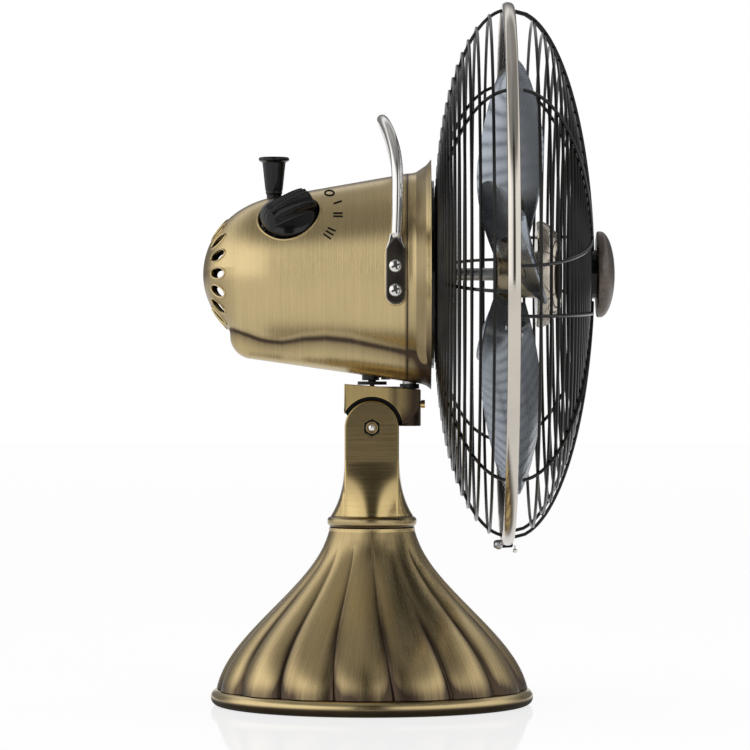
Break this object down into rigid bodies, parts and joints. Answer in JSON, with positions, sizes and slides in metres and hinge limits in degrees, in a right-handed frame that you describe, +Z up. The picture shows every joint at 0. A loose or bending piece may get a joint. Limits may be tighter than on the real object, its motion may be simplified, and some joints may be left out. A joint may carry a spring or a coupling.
{
  "type": "oscillating table fan",
  "caption": "Oscillating table fan in antique brass with a wire grille, pitched metal blades, a domed motor housing with carry handle and a fluted bell base.",
  "frame": {"origin": "on the base's vertical axis, at the height of the surface that the fan stands on", "axes": "+Z up, +X out of the front of the grille along the blade shaft, +Y to the side away from the speed knob"},
  "size_m": [0.2632, 0.345, 0.4485],
  "materials": {
    "brass": "brushed antique brass, lacquered",
    "aged_brass": "brushed antique brass with dark patina in the flutes",
    "dark_brass": "dark bronze, satin",
    "chrome": "polished",
    "steel": "plain bright steel",
    "blade_steel": "glossy blue grey steel sheet",
    "black_wire": "dark bronze to black paint, semi-gloss",
    "black_plastic": "glossy black",
    "cast_iron": "dull",
    "die_cast": "as cast",
    "rubber": "matte",
    "copper": "varnished windings"
  },
  "bodies": {
    "base": {"rubber_foot_1": "rubber", "rubber_foot_2": "rubber", "rubber_foot_3": "rubber", "rubber_foot_4": "rubber", "bottom_plate": "steel", "foot_ring": "brass", "ballast_disc": "cast_iron", "bell_base": "aged_brass", "cord_gland": "black_plastic", "neck_collar": "brass", "tie_bolt": "steel", "neck_fork": "brass", "tilt_bolt": "chrome", "tilt_nut": "dark_brass", "tilt_washer_left": "steel", "tilt_washer_right": "steel"},
    "tilt_yoke": {"tilt_block": "brass", "swivel_set_screw": "brass"},
    "link": {"link_arm": "steel"},
    "head": {"motor_housing": "brass", "front_bezel": "brass", "motor_frame": "die_cast", "motor_stator": "copper", "gearbox": "die_cast", "swivel_shaft": "steel", "swivel_washer": "black_plastic", "speed_switch": "black_plastic", "carry_handle": "chrome", "handle_screw_1": "chrome", "handle_screw_2": "chrome", "handle_screw_3": "chrome", "handle_screw_4": "chrome", "guard_plate": "black_wire", "guard_ring_nut": "black_plastic", "rear_guard": "black_wire", "front_guard": "black_wire", "guard_band": "chrome", "clamp_screw": "steel", "clamp_nut": "steel", "front_cap": "dark_brass", "cap_plate": "black_wire"},
    "crank": {"crank_wheel": "cast_iron"},
    "speed_dial": {"speed_knob": "black_plastic"},
    "pull_knob": {"oscillation_knob": "black_plastic"},
    "rotor": {"rotor_shaft": "steel", "rotor_core": "cast_iron", "blade_spider": "aged_brass", "blade_1": "blade_steel", "blade_2": "blade_steel", "blade_3": "blade_steel", "blade_4": "blade_steel", "spinner": "chrome"}
  },
  "joints": [
    {"name": "head_tilt", "type": "hinge", "parent": "base", "child": "tilt_yoke", "pos_m": [0, 0, 0.177], "axis": [0, 1, 0], "range_deg": [-20, 10]},
    {"name": "oscillation", "type": "hinge", "parent": "tilt_yoke", "child": "head", "pos_m": [0.024, 0, 0.2], "axis": [0, 0, 1], "range_deg": [-35, 35]},
    {"name": "link_swing", "type": "hinge", "parent": "tilt_yoke", "child": "link", "pos_m": [0.024, 0.0122, 0.2025], "axis": [0, 0, 1], "range_deg": [-35, 35]},
    {"name": "fan_spin", "type": "hinge", "parent": "head", "child": "rotor", "pos_m": [0.088, 0, 0.275], "axis": [1, 0, 0], "continuous": true},
    {"name": "crank_turn", "type": "hinge", "parent": "head", "child": "crank", "pos_m": [0, 0.0122, 0.21], "axis": [0, 0, 1], "continuous": true},
    {"name": "speed_turn", "type": "hinge", "parent": "head", "child": "speed_dial", "pos_m": [-0.052, 0, 0.275], "axis": [0, -0.6884, 0.7254], "range_deg": [-75, 0]},
    {"name": "oscillation_pull", "type": "slide", "parent": "head", "child": "pull_knob", "axis": [0, 0, 1], "range_m": [-0.006, 0]}
  ],
  "couplings": [
    {"joint": "link_swing", "follows": "oscillation", "ratio": 1},
    {"joint": "crank_turn", "follows": "fan_spin", "ratio": 0.004}
  ]
}
